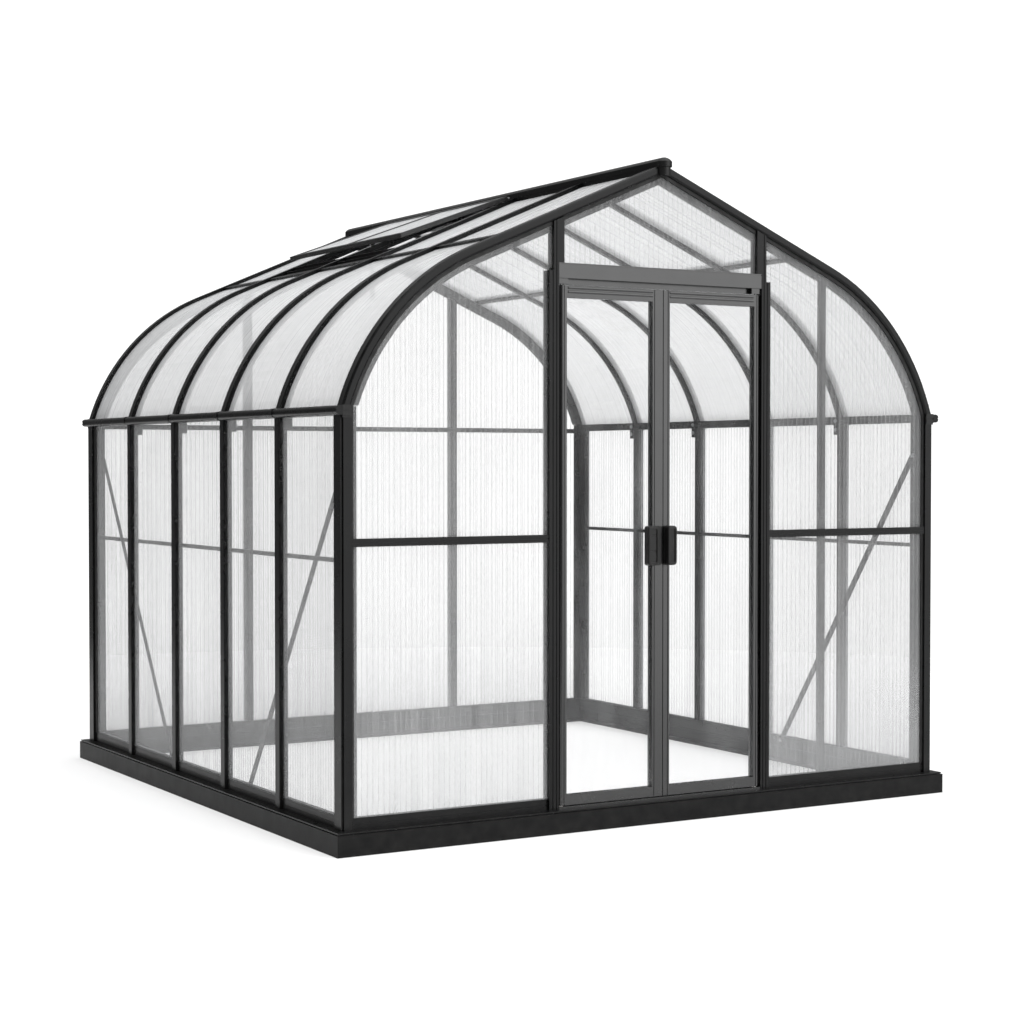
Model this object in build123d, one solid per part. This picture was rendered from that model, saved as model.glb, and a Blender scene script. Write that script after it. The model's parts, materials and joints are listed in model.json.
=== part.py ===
from build123d import *
import math
import os

# Walk-in greenhouse with a curved roof. Millimetres, +Z up, doors in the -Y gable.
# Origin: centre of the footprint, on the ground.

# ---- overall size ----
WALL = 1220            # centre to the outer face of the posts, all four sides
BASE = 1250            # centre to the outer face of the steel base
BASE_TOP = 69          # top of the steel base beams
BASE_STEEL = 3         # sheet thickness of the base beams and their corner plates
BASE_UPPER = 74        # width of a base beam's upper flange
BASE_LOWER = 56        # width of its lower flange
BASE_LIP = 14          # drop of the return lip on the upper flange
ANCHOR_RADIUS = 5
ANCHOR_PLACES = (-1000, 1000)   # ground anchor holes, along a side beam
PLATE_LEG = 120        # leg of a base corner plate
LEDGE_TOP = 76         # top of the sill ledge, where the posts stand
SILL_TOP = 113         # top of the sill riser
EAVE_LOW = 1384        # underside of the eave beam
EAVE_TOP = 1414        # top of the eave beam, where the ribs stand
APEX = 2256            # where the two roof slopes would meet
CAP_TOP = 2277         # top of the ridge cap
SLOPE = math.radians(23.2)
BEND_RADIUS = 842      # outer radius of the curved roof
BAYS = 5
RIB_PITCH = 480

# ---- glazing bar section, measured inwards from the outer face ----
CROWN = 1.5
PANEL_OUT = 14
PANEL_IN = 20
SLOT_IN = 20.2
BAR_DEPTH = 34
CROWN_HALF = 17
CAP_HALF = 20
NECK_HALF = 8
BODY_HALF = 12
PANEL_EDGE = 10        # panel edge to bar centre line
BAR_LAYERS = ((0, CROWN, CROWN_HALF), (CROWN, PANEL_OUT, CAP_HALF),
              (PANEL_OUT, SLOT_IN, NECK_HALF), (SLOT_IN, BAR_DEPTH, BODY_HALF))
BAR_VOIDS = ((4, 11, 16), (23, BAR_DEPTH - 3, BODY_HALF - 3))

# ---- gable frame section ----
TUBE = 36              # corner tube, across the gable face and in from the side face
TUBE_SIDE = 56         # corner tube, along the side wall
SIDE_FLANGE = TUBE_SIDE + 26
SIDE_GASKET = 20
ARCH_TUBE = 30         # depth of the arch tube in its own plane
ARCH_ROUND = 8         # rounding of the arch tube's long edges
ARCH_DEPTH = 62        # to the inner edge of the arch flange
FRAME_WIDTH = 40       # front to back
GASKET_DEPTH = 12
GASKET_FACE = 9        # gasket face behind the frame's front
CORNER_FLANGE = 62
GABLE_EDGE = WALL - TUBE - 1
RISER_END = WALL - 41

# ---- doors ----
DOOR_POST_IN = 420
DOOR_POST_OUT = 458
MULLION_OUT = 440
LEAF_HALF = 417        # outer edge of a closed leaf
MEETING_GAP = 1.5
HINGE_STILE = 28
LEFT_MEETING_STILE = 42
RIGHT_MEETING_STILE = 26
LEAF_LOW = 88
LEAF_TOP = 1825
LEAF_FRONT = 2
LEAF_BACK = 30
BOTTOM_RAIL = 34
TOP_RAIL = 41
LINTEL_LOW = 1848
LINTEL_TOP = 1899
HEAD_LOW = 1829        # underside of the recessed door head
PIN_RADIUS = 4
BUSH_RADIUS = 8
THRESHOLD_TOP = 84
PULL_LOW = 883
PULL_TOP = 1018
PULL_DEPTH = 26
PULL_FLANGE = 4        # thickness of the pull's flange
RIGHT_PULL = (3, 5, 42)    # from the meeting line: flange edge, box edge, far side
LEFT_PULL = (9, 33, 76)

# ---- rails and braces ----
FRONT_RAIL_Z = 982
SIDE_RAIL_Z = 925
BACK_POST_X = 505
GABLE_BAR_X = 711
BACK_RAIL_Z = 1384
RAIL_HALF = 13
BACK_RAIL_HALF = 10
SIDE_RAIL_HALF = 7
BRACE_TOP_Z = 1262
BRACE_INSET = 56       # upper brace bolt to the gable face
BRACE_RUN = 790        # upper to lower brace bolt, along the wall
BRACE_WIDTH = 26
BRACE_THICK = 3
BRACE_DEPTH = 45.3     # wall's outer face to the brace's outer face
BRACKET_DEPTH = 53     # wall's outer face to the inner face of the eave brackets

# ---- roof ----
RIDGE_HALF = 26
RIDGE_CAP_HALF = 28
RIDGE_CAP_SIDE = CAP_TOP - 15   # where the cap's crown begins
NOSE_RADIUS = 23       # column under the rounded end of the ridge cap
NOSE_DROP = 64         # top of the ridge cap to the foot of that column
PURLIN_X = 620
VENT_FIRST = 2         # first and last rib under the vent sash
VENT_LAST = 4
HINGE_RUN = 46         # vent hinge, down the slope from the apex
HINGE_RISE = 8
SASH_START = 57
SASH_END = 545
SASH_LOW = 1.5
SASH_HIGH = 18
SASH_RAIL = 28
SASH_BAR = 24
SASH_OVERLAP = 18      # past the outer ribs' centre lines
REST_OPEN = 3          # degrees the vent stands open
CURB_START = 556
STAY_Y = 270           # middle of the stay bar, beside the rib under the sash's centre bar
STAY_PIVOT = (400, -16)
STAY_PEG = (497, -28)
STAY_REACH = 215       # pivot to the last hole
STAY_HALF = 9
STAY_HOLES = 6
STAY_HOLE = 3.4        # radius of the stay's holes
STAY_THICK = 3
KNUCKLE_PLACES = (0.13, 0.36, 0.64, 0.87)       # along the sash, as parts of its width
LUG_PLACES = (0.02, 0.22, 0.5, 0.78, 0.98)      # hinge rod lugs, as parts of the sash's width

COS = math.cos(SLOPE)
SIN = math.sin(SLOPE)
RIB_Y = [-RIB_PITCH * BAYS / 2 + RIB_PITCH * k for k in range(BAYS + 1)]


# ---------------------------------------------------------------- helpers

def block(x0, x1, y0, y1, z0, z1):
    """Axis-aligned block between two corners."""
    return Pos((x0 + x1) / 2, (y0 + y1) / 2, (z0 + z1) / 2) * Box(x1 - x0, y1 - y0, z1 - z0)


def joined(shapes):
    """Union of overlapping or touching shapes."""
    result = shapes[0]
    for shape in shapes[1:]:
        result = result + shape
    return result


def mirrored_x(shape):
    return mirror(shape, about=Plane.YZ)


def turned(shape, quarter_turns):
    """Turn about the vertical centre line."""
    return Rot(0, 0, 90 * quarter_turns) * shape


def rod(start, end, radius):
    """Straight round bar between two points."""
    axis = Vector(*end) - Vector(*start)
    plane = Plane(origin=start, z_dir=axis)
    return extrude(plane * Circle(radius), axis.length)


def flat_polygon(points, plane, thickness):
    """Prism of a closed outline drawn on a plane."""
    return extrude(plane * make_face(Polyline(*points, close=True)), thickness)


# ---------------------------------------------------------------- roof curve

def bend_centre():
    """Centre of the bend: tangent to the slope and passing through the top of the wall."""
    ax, az = -WALL, APEX - EAVE_TOP + PANEL_OUT
    along = ax * COS - az * SIN
    normal = ax * SIN + az * COS
    run = -along - math.sqrt(along ** 2 - (ax ** 2 + az ** 2 - 2 * BEND_RADIUS * normal))
    return run * COS - BEND_RADIUS * SIN, APEX - run * SIN - BEND_RADIUS * COS


BEND_X, BEND_Z = bend_centre()


def roof_edges(depth, y):
    """Ridge point, tangent point, mid bend and bend foot of the roof curve at a depth."""
    radius = BEND_RADIUS - depth

    def on_bend(angle):
        return (BEND_X + radius * math.cos(angle), y, BEND_Z + radius * math.sin(angle))

    tangent = math.pi / 2 - SLOPE
    foot = math.asin((EAVE_LOW - 20 - BEND_Z) / BEND_RADIUS)
    return ((0, y, APEX - depth / COS), on_bend(tangent), on_bend((tangent + foot) / 2), on_bend(foot))


def roof_band(outer, inner, y0, y1):
    """Curved plate between two depths under the roof curve, right half."""
    a = roof_edges(outer, y0)
    b = roof_edges(inner, y0)
    outline = [Line(a[0], a[1]), ThreePointArc(a[1], a[2], a[3]), Line(a[3], b[3]),
               ThreePointArc(b[3], b[2], b[1]), Line(b[1], b[0]), Line(b[0], a[0])]
    return extrude(Face(Wire(outline)), y1 - y0, dir=(0, 1, 0))


def under_roof(depth, edge, y0, y1):
    """Everything of the right half gable under the roof curve and inside the wall edge."""
    a = roof_edges(depth, y0)
    outline = [Line(a[0], a[1]), ThreePointArc(a[1], a[2], a[3]), Line(a[3], (a[3][0], y0, 0)),
               Line((a[3][0], y0, 0), (0, y0, 0)), Line((0, y0, 0), a[0])]
    inside = extrude(Face(Wire(outline)), y1 - y0, dir=(0, 1, 0))
    return inside & block(-1, edge, y0, y1, 0, APEX)


def slope_plane():
    """Plane of the right slope: local x runs down the slope, y along the ridge, z outwards."""
    return Plane(origin=(0, 0, APEX), x_dir=(COS, 0, -SIN), z_dir=(SIN, 0, COS))


def slope_block(s0, s1, y0, y1, v0, v1):
    """Block lying on the right slope, from slope distances, ridge distances and heights."""
    return slope_plane().location * block(s0, s1, y0, y1, v0, v1)


# ---------------------------------------------------------------- base and sills

def side_prism(points, half_length):
    """Section in x and z of the right side, drawn along y and mitred at both corners."""
    prism = flat_polygon(points, Plane(origin=(0, half_length, 0), x_dir=(1, 0, 0), z_dir=(0, -1, 0)),
                         2 * half_length)
    reach = BASE + 10
    mitre = flat_polygon(((1, -1), (reach, -reach), (reach, reach), (1, 1)), Plane.XY, APEX)
    return prism & mitre


def base_beam():
    """Steel channel, open inwards, with a return lip on its upper flange."""
    web_in = BASE - BASE_STEEL
    lip_in = BASE - BASE_UPPER
    lip_out = lip_in + BASE_STEEL
    flange_in = BASE - BASE_LOWER
    upper = ((BASE, 0), (BASE, BASE_TOP), (lip_in, BASE_TOP), (lip_in, BASE_TOP - BASE_LIP),
             (lip_out, BASE_TOP - BASE_LIP), (lip_out, BASE_TOP - BASE_STEEL))
    lower = ((web_in, BASE_TOP - BASE_STEEL), (web_in, BASE_STEEL), (flange_in, BASE_STEEL), (flange_in, 0))
    return side_prism(upper + lower, BASE)


def anchored(beam):
    """Cut the two ground anchor holes in a side beam's lower flange."""
    for y in ANCHOR_PLACES:
        beam = beam - Pos(BASE - BASE_LOWER / 2, y, 0) * Cylinder(ANCHOR_RADIUS, 10)
    return beam


def corner_plate():
    """Angle plate bolted inside a base corner, right rear."""
    inner = BASE - BASE_STEEL
    low, high = 2 * BASE_STEEL, BASE_TOP - 2 * BASE_STEEL
    side_leg = block(inner - BASE_STEEL, inner, inner - PLATE_LEG, inner, low, high)
    return side_leg + block(inner - PLATE_LEG, inner, inner - BASE_STEEL, inner, low, high)


def ledge():
    """Sill ledge with a recessed foot that leaves a shadow gap over the base."""
    outline = ((BASE - 4, BASE_TOP + 2.5), (BASE - 4, LEDGE_TOP), (WALL - 40, LEDGE_TOP),
               (WALL - 40, BASE_TOP), (BASE - 14, BASE_TOP), (BASE - 14, BASE_TOP + 2.5))
    return side_prism(outline, BASE)


def riser(y0, y1):
    """Upright part of the sill with its panel slot and a shadow groove, right side."""
    body = block(WALL - 40, WALL - 10, y0, y1, LEDGE_TOP, SILL_TOP)
    slot = block(WALL - PANEL_IN - 0.1, WALL - PANEL_OUT + 0.1, y0, y1, LEDGE_TOP + 8, SILL_TOP)
    groove = block(WALL - 12, WALL - 10, y0, y1, LEDGE_TOP + 15, LEDGE_TOP + 18)
    core = block(WALL - 37, WALL - 23.5, y0, y1, LEDGE_TOP + 3, SILL_TOP - 3)
    return body - slot - groove - core


def full_sill():
    return ledge() + riser(-RISER_END, RISER_END)


def front_risers():
    """Risers of the two glazed front bays, beside the doorway."""
    right = turned(riser(DOOR_POST_OUT + 1, RISER_END), -1)
    return [right, mirrored_x(right)]


def threshold():
    """Low bar across the doorway that carries the lower door bushes."""
    y0 = -WALL + 1
    bar = block(-DOOR_POST_IN + 1, DOOR_POST_IN - 1, y0, y0 + 38, LEDGE_TOP, THRESHOLD_TOP)
    stop = block(-DOOR_POST_IN + 1, DOOR_POST_IN - 1, y0 + 32, y0 + 38, THRESHOLD_TOP, THRESHOLD_TOP + 10)
    for x in (-1, 1):
        bar = bar - Pos(x * pivot_x(), pivot_y(), LEDGE_TOP + 6) * Cylinder(BUSH_RADIUS, 8)
    return bar + stop


# ---------------------------------------------------------------- posts and rails

def straight_bar(y, z0, z1):
    """Glazing bar on the right wall."""
    def layer(outer, inner, half):
        return block(WALL - inner, WALL - outer, y - half, y + half, z0, z1)

    bar = joined([layer(*part) for part in BAR_LAYERS])
    return bar - layer(*BAR_VOIDS[0]) - layer(*BAR_VOIDS[1])


def side_posts():
    """Four posts of the right wall, notched over the sill riser."""
    notch = block(WALL - 46, WALL - 10, -WALL, WALL, LEDGE_TOP, SILL_TOP)
    return [straight_bar(y, LEDGE_TOP, EAVE_LOW) - notch for y in RIB_Y[1:-1]]


def corner_post():
    """Corner post at the right rear: tube with a recessed corner and two flanges behind the panels."""
    outer = WALL
    inner = WALL - TUBE
    side = WALL - TUBE_SIDE
    reach = WALL - CORNER_FLANGE
    tube = block(inner, outer, side, outer, LEDGE_TOP, EAVE_LOW)
    tube = tube - block(outer - 7, outer, outer - 7, outer, LEDGE_TOP, EAVE_LOW)
    tube = tube - block(inner + 4, outer - 10, side + 4, outer - 10, LEDGE_TOP, EAVE_LOW)
    side_flange = block(inner, WALL - SLOT_IN, WALL - SIDE_FLANGE, side, LEDGE_TOP, EAVE_LOW)
    gable_flange = block(reach, inner, inner, WALL - SLOT_IN, LEDGE_TOP, EAVE_TOP - 2)
    post = tube + side_flange + gable_flange
    post = post - riser(-RISER_END, RISER_END) - turned(riser(-RISER_END, RISER_END), 1)
    side_slot = block(inner, WALL - 10, WALL - SIDE_FLANGE, side + 0.1, LEDGE_TOP, SILL_TOP)
    gable_slot = block(reach, inner + 0.1, inner, WALL - 10, LEDGE_TOP, SILL_TOP)
    return post - side_slot - gable_slot


def rail_between(y0, y1, z):
    """Flat rail behind the panels of the right wall."""
    half = SIDE_RAIL_HALF
    inner = WALL - BAR_DEPTH + 2
    rail = block(inner, WALL - SLOT_IN, y0, y1, z - half, z + half)
    return rail - block(inner + 3, WALL - SLOT_IN - 3, y0, y1, z - half + 3, z + half - 3)


def side_mid_rails():
    """Five mid rails of the right wall, each between two bars."""
    ends = [RIB_Y[0] + 20] + RIB_Y[1:-1] + [RIB_Y[-1] - 20]
    rails = []
    for k in range(BAYS):
        start = WALL - SIDE_FLANGE if k == 0 else -ends[k] - BODY_HALF
        stop = WALL - SIDE_FLANGE if k == BAYS - 1 else ends[k + 1] - BODY_HALF
        rails.append(rail_between(-start, stop, SIDE_RAIL_Z))
    return rails


def eave_beam():
    """Eave beam with a rounded gutter nose and slots for the panels above and below."""
    section = Rectangle(72, EAVE_TOP - EAVE_LOW, align=(Align.MAX, Align.CENTER))
    section = fillet(section.vertices().sort_by(Axis.X)[-2:], 13)
    middle = (EAVE_LOW + EAVE_TOP) / 2
    plane = Plane(origin=(WALL + 22, WALL + 6, middle), x_dir=(1, 0, 0), z_dir=(0, -1, 0))
    length = 2 * (WALL + 6)
    beam = extrude(plane * section, length)
    ends = WALL + 7
    beam = beam - block(WALL + 19, WALL + 23, -ends, ends, middle - 2, middle + 2)
    beam = beam - block(WALL - 20.2, WALL - 13.8, -ends, ends, EAVE_LOW, EAVE_LOW + 12)
    roof_slot = block(0, WALL, -ends, ends, EAVE_TOP - 12, EAVE_TOP + 9)
    beam = beam - (roof_band(13.7, 20.3, -ends, ends) & roof_slot)
    closed = WALL - FRAME_WIDTH - 4
    beam = beam - block(WALL - 46, WALL - 24, -closed, closed, EAVE_LOW + 4, EAVE_TOP - 4)
    beam = beam - block(WALL - 8, WALL + 12, -closed, closed, EAVE_LOW + 5, EAVE_TOP - 5)
    for side in (-1, 1):
        y0, y1 = sorted((side * (WALL - FRAME_WIDTH), side * ends))
        beam = beam - block(0, WALL - TUBE, y0, y1, EAVE_LOW, EAVE_TOP)
        y0, y1 = sorted((side * WALL, side * ends))
        beam = beam - block(0, WALL - 2, y0, y1, EAVE_LOW, EAVE_TOP)
    return joined([beam, *eave_collars()])


def eave_collars():
    """Sleeves over the gutter nose, one at each post of the right wall."""
    collars = []
    for y in RIB_Y[1:-1]:
        sleeve = block(WALL + 1, WALL + 23.5, y - 12, y + 12, EAVE_LOW - 1.5, EAVE_TOP + 1.5)
        collars.append(fillet(sleeve.edges().filter_by(Axis.Y).sort_by(Axis.X)[-2:], 14))
    return collars


def eave_corner_cap():
    """Stepped plastic cap on the gable face of an eave corner, right front."""
    steps = ((EAVE_LOW - 8, 3), (EAVE_LOW - 2, 6), (EAVE_LOW + 11, 3), (EAVE_LOW + 16, 6), (EAVE_TOP + 2, 0))
    x0 = WALL - TUBE
    parts = [block(x0, WALL - 2.5, -WALL - steps[k][1], -WALL, steps[k][0], steps[k + 1][0])
             for k in range(len(steps) - 1)]
    return joined(parts)


def eave_bracket(y):
    """Cranked bracket that ties a post to the eave beam inside the right wall."""
    face = WALL - BRACKET_DEPTH
    half = BODY_HALF - 1
    lower = block(face, WALL - BAR_DEPTH, y - half, y + half, EAVE_LOW - 40, EAVE_LOW)
    upper = block(face, face + 3, y - half, y + half, EAVE_LOW, EAVE_TOP - 3)
    return lower + upper


# ---------------------------------------------------------------- arches and ribs

def rib(y):
    """Curved glazing bar of the right half, from the ridge beam to the eave beam."""
    bar = joined([roof_band(outer, inner, y - half, y + half) for outer, inner, half in BAR_LAYERS])
    for outer, inner, half in BAR_VOIDS:
        bar = bar - roof_band(outer, inner, y - half, y + half)
    return bar & block(RIDGE_HALF, WALL, y - CAP_HALF, y + CAP_HALF, EAVE_TOP, APEX)


def gable_arch():
    """Right half of the front gable arch: tube, step for the gasket, flange behind the panel."""
    front = -WALL
    back = front + FRAME_WIDTH
    tube = roof_band(0, ARCH_TUBE, front, back)
    face_edges = tube.faces().sort_by(Axis.Y)[0].edges()
    tube = fillet([edge for edge in face_edges if edge.length > 2 * ARCH_TUBE], ARCH_ROUND)
    arch = tube + roof_band(ARCH_TUBE, ARCH_DEPTH, front + SLOT_IN, back)
    arch = arch - roof_band(13.8, SLOT_IN, back - 11, back)
    arch = arch - roof_band(4, 11, front + 5, back - 3)
    arch = arch - roof_band(23, 26, front + 5, back - 3)
    arch = arch - roof_band(ARCH_TUBE + 3, ARCH_DEPTH - 3, front + 23, back - 3)
    return arch & block(0, WALL, front, back, EAVE_TOP, APEX)


def gable_gaskets(bars):
    """Gaskets in front of the gable panels, along the right arch and corner, cut round the bars."""
    y0 = -WALL + GASKET_FACE
    y1 = -WALL + PANEL_OUT
    along = roof_band(ARCH_TUBE, ARCH_TUBE + GASKET_DEPTH, y0, y1) & block(0, WALL, y0, y1, EAVE_TOP, APEX)
    corner = block(WALL - TUBE - 10, WALL - TUBE, y0, y1, SILL_TOP, EAVE_TOP)
    for bar in bars:
        along = along - bar
        corner = corner - bar
    return pair(along) + pair(corner)


def side_gasket():
    """Gasket beside the corner post at the front of the right wall."""
    start = -WALL + TUBE_SIDE
    return block(WALL - PANEL_OUT, WALL - GASKET_FACE, start, start + SIDE_GASKET, SILL_TOP, EAVE_LOW)


def purlins():
    """Bars between the flat and the curved roof panels of the right slope."""
    centre = PURLIN_X / COS
    parts = []
    for k in range(BAYS):
        y0 = RIB_Y[k] + (CAP_HALF if k else FRAME_WIDTH / 2)
        y1 = RIB_Y[k + 1] - (CAP_HALF if k < BAYS - 1 else FRAME_WIDTH / 2)
        cap = slope_block(centre - 12, centre + 12, y0, y1, -PANEL_OUT, -5)
        neck = slope_block(centre - 4, centre + 4, y0, y1, -SLOT_IN, -PANEL_OUT)
        body = slope_block(centre - 10, centre + 10, y0, y1, -BAR_DEPTH + 5, -SLOT_IN)
        parts.append(cap + neck + body - slope_block(centre - 7, centre + 7, y0, y1, -BAR_DEPTH + 8, -23.5))
    return parts


def ridge_beam():
    """Beam between the ribs' upper ends, with slots for the roof panels."""
    low = APEX - 60
    high = APEX - RIDGE_HALF * SIN / COS - 0.5
    length = WALL - FRAME_WIDTH
    beam = block(-RIDGE_HALF, RIDGE_HALF, -length, length, low, high)
    beam = beam - block(-RIDGE_HALF + 8, RIDGE_HALF - 8, -length, length, low + 4, high - 4)
    slot = roof_band(13.7, 20.3, -length, length) & block(RIDGE_HALF - 6, WALL, -length, length, 0, APEX)
    return beam - slot - mirrored_x(slot)


def crown_arc(half, side, top):
    return ThreePointArc((half, side), (0, top), (-half, side))


def ridge_cap():
    """Rounded cap along the whole ridge, resting on the ribs' outer edges."""
    half = RIDGE_CAP_HALF
    inner = half - 3
    skirt = APEX - half * SIN / COS + 0.2
    outline = Polyline((-half, RIDGE_CAP_SIDE), (-half, skirt), (0, APEX + 0.2), (half, skirt),
                       (half, RIDGE_CAP_SIDE))
    floor = Polyline((-inner, RIDGE_CAP_SIDE - 2), (-inner, APEX + 3), (inner, APEX + 3),
                     (inner, RIDGE_CAP_SIDE - 2))
    section = make_face(outline + crown_arc(half, RIDGE_CAP_SIDE, CAP_TOP))
    section = section - make_face(floor + crown_arc(inner, RIDGE_CAP_SIDE - 2, CAP_TOP - 3))
    return extrude(Plane(origin=(0, WALL, 0), x_dir=(1, 0, 0), z_dir=(0, -1, 0)) * section, 2 * WALL)


def ridge_end_cap():
    """Round end of the ridge: the cap's section carried round in plan, over a column on the arch joint."""
    half = RIDGE_CAP_HALF
    brim_low = APEX - half * SIN / COS + 0.2
    column_low = CAP_TOP - NOSE_DROP
    outline = Polyline((half, RIDGE_CAP_SIDE), (half, brim_low), (-half, brim_low), (-half, RIDGE_CAP_SIDE))
    right_side = Rectangle(half, 3 * CAP_TOP, align=(Align.MIN, Align.CENTER))
    section = make_face(outline + crown_arc(half, RIDGE_CAP_SIDE, CAP_TOP)) & right_side
    section = Plane(origin=(0, -WALL, 0), x_dir=(1, 0, 0), z_dir=(0, -1, 0)) * section
    brim = revolve(section, Axis((0, -WALL, 0), (0, 0, -1)), 180)
    column = Pos(0, -WALL, (column_low + brim_low + 4) / 2) * Cylinder(NOSE_RADIUS, brim_low + 4 - column_low)
    return brim + (column - block(-WALL, WALL, -WALL, WALL, 0, CAP_TOP))


# ---------------------------------------------------------------- gable members

def gable_bar(x):
    """Glazing bar from the base up to the gable arch."""
    def layer(outer, inner, half, trim):
        y0, y1 = -WALL + outer, -WALL + inner
        piece = block(x - half, x + half, y0, y1, LEDGE_TOP, APEX)
        return piece & under_roof(trim, WALL, y0, y1)

    trims = (ARCH_TUBE + 0.2, ARCH_TUBE + 0.2, ARCH_DEPTH + 0.2, ARCH_DEPTH + 0.2)
    bar = joined([layer(*part, trim) for part, trim in zip(BAR_LAYERS, trims)])
    outer, inner, half = BAR_VOIDS[1]
    return bar - block(x - half, x + half, -WALL + outer, -WALL + inner, LEDGE_TOP, APEX)


def riser_notch():
    return block(-WALL, WALL, -WALL + 10, -WALL + 46, LEDGE_TOP, SILL_TOP)


def door_post():
    """Right door post: a grooved jamb up to the lintel and a slimmer mullion above it."""
    y0 = -WALL
    lower = block(DOOR_POST_IN, DOOR_POST_OUT, y0, y0 + FRAME_WIDTH, LEDGE_TOP, 1872)
    upper = block(DOOR_POST_IN - 20, MULLION_OUT, y0, y0 + FRAME_WIDTH, LINTEL_TOP, APEX)
    neck = block(DOOR_POST_IN, MULLION_OUT, y0, y0 + FRAME_WIDTH, 1870, LINTEL_TOP)
    tube_trim = under_roof(ARCH_TUBE + 0.2, WALL, y0, y0 + SLOT_IN)
    flange_trim = under_roof(ARCH_DEPTH + 0.2, WALL, y0 + SLOT_IN, y0 + FRAME_WIDTH)
    post = lower + neck + (upper & (tube_trim + flange_trim))
    for x in (DOOR_POST_IN + 10, DOOR_POST_IN + 24):
        post = post - block(x - 1.5, x + 1.5, y0, y0 + 2.5, LEDGE_TOP, APEX)
    lower_slot = block(DOOR_POST_OUT - 10, DOOR_POST_OUT, y0 + 13.9, y0 + SLOT_IN, LEDGE_TOP, 1880)
    upper_slot = block(MULLION_OUT - 10, MULLION_OUT, y0 + 13.9, y0 + SLOT_IN, 1860, APEX)
    inner_slot = block(DOOR_POST_IN - 20, DOOR_POST_IN - 10, y0 + 13.9, y0 + SLOT_IN, LINTEL_TOP, APEX)
    core = block(DOOR_POST_IN + 3, DOOR_POST_IN + 17, y0 + 5, y0 + 37, LEDGE_TOP, LINTEL_TOP)
    return post - lower_slot - upper_slot - inner_slot - core


def lintel():
    """Door lintel with a recessed head that holds the upper door bushes."""
    y0 = -WALL
    face = block(-DOOR_POST_IN, DOOR_POST_IN, y0 + 1, y0 + FRAME_WIDTH, LINTEL_LOW, LINTEL_TOP)
    face = face - block(-DOOR_POST_IN, DOOR_POST_IN, y0 + 5, y0 + 37, LINTEL_LOW + 4, LINTEL_TOP - 14)
    face = face - block(-DOOR_POST_IN, DOOR_POST_IN, y0 + 13.9, y0 + SLOT_IN, LINTEL_TOP - 10, LINTEL_TOP)
    face = face - block(-DOOR_POST_IN, DOOR_POST_IN, y0 + 1, y0 + 2.5, LINTEL_TOP - 6, LINTEL_TOP - 3.5)
    head = block(-DOOR_POST_IN, DOOR_POST_IN, y0 + 7, y0 + FRAME_WIDTH, HEAD_LOW, LINTEL_LOW)
    recess = pivot_x() - 22
    head = head - block(-recess, recess, y0 + 7, y0 + 24, HEAD_LOW, LINTEL_LOW)
    for x in (-1, 1):
        head = head - Pos(x * pivot_x(), pivot_y(), HEAD_LOW + 6) * Cylinder(BUSH_RADIUS, 12)
    return face + head


def front_mid_rail():
    """Mid rail of the right front bay, holding the panels above and below it."""
    x0, x1 = DOOR_POST_OUT, WALL - TUBE
    y0 = -WALL
    z = FRONT_RAIL_Z
    cap = block(x0, x1, y0 + 3, y0 + PANEL_OUT, z - RAIL_HALF, z + RAIL_HALF)
    cap = cap - block(x0, x1, y0 + 3, y0 + 5, z - 1.5, z + 1.5)
    neck = block(x0 + 1, x1 - 1, y0 + PANEL_OUT, y0 + SLOT_IN, z - 3, z + 3)
    body = block(x0, x1 - 26, y0 + SLOT_IN, y0 + 36, z - RAIL_HALF + 2, z + RAIL_HALF - 2)
    return cap + neck + body


def front_gable_bar():
    """Thin stiffener behind the panels of the right front bay, from the sill to the arch."""
    y0 = -WALL + SLOT_IN
    y1 = y0 + 14
    x = GABLE_BAR_X
    bar = block(x - 14, x + 14, y0, y1, SILL_TOP, APEX) & under_roof(ARCH_DEPTH + 0.2, WALL, y0, y1)
    rail = block(DOOR_POST_OUT, WALL, y0, y0 + 17, FRONT_RAIL_Z - RAIL_HALF + 2, FRONT_RAIL_Z + RAIL_HALF - 2)
    upper = (bar - rail) & block(0, WALL, y0, y1, FRONT_RAIL_Z, APEX)
    lower = (bar - rail) & block(0, WALL, y0, y1, 0, FRONT_RAIL_Z)
    return [upper, lower]


def back_rails():
    """Rails of the back gable at eave height, between the posts, drawn on the front gable."""
    y0 = -WALL
    spans = ((-(WALL - TUBE), -BACK_POST_X), (-BACK_POST_X, BACK_POST_X), (BACK_POST_X, WALL - TUBE))
    z = BACK_RAIL_Z
    rails = []
    for start, stop in spans:
        wall_left = start < -BACK_POST_X
        wall_right = stop > BACK_POST_X
        x0 = start if wall_left else start + CAP_HALF
        x1 = stop if wall_right else stop - CAP_HALF
        cap = block(x0, x1, y0 + 3, y0 + PANEL_OUT, z - BACK_RAIL_HALF, z + BACK_RAIL_HALF)
        neck = block(x0, x1, y0 + PANEL_OUT, y0 + SLOT_IN, z - 3, z + 3)
        b0 = x0 + 28 if wall_left else start + BODY_HALF
        b1 = x1 - 28 if wall_right else stop - BODY_HALF
        body = block(b0, b1, y0 + SLOT_IN, y0 + BAR_DEPTH, z - BACK_RAIL_HALF, z + BACK_RAIL_HALF)
        rails.append(cap + neck + body)
    return rails


# ---------------------------------------------------------------- braces

def brace():
    """Flat diagonal brace inside the right wall, from the front corner post down to the sill."""
    start = (-WALL + BRACE_INSET, BRACE_TOP_Z)
    foot = (-WALL + BRACE_INSET + BRACE_RUN, SILL_TOP - 16)
    dy, dz = foot[0] - start[0], foot[1] - start[1]
    length = math.hypot(dy, dz)
    centre = ((start[0] + foot[0]) / 2, (start[1] + foot[1]) / 2)
    x = WALL - BRACE_DEPTH - BRACE_THICK / 2
    bar = Box(BRACE_THICK, length + BRACE_WIDTH, BRACE_WIDTH)
    tilt = math.degrees(math.atan2(dz, dy))
    return Pos(x, *centre) * Rot(tilt, 0, 0) * bar, start, foot


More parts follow.
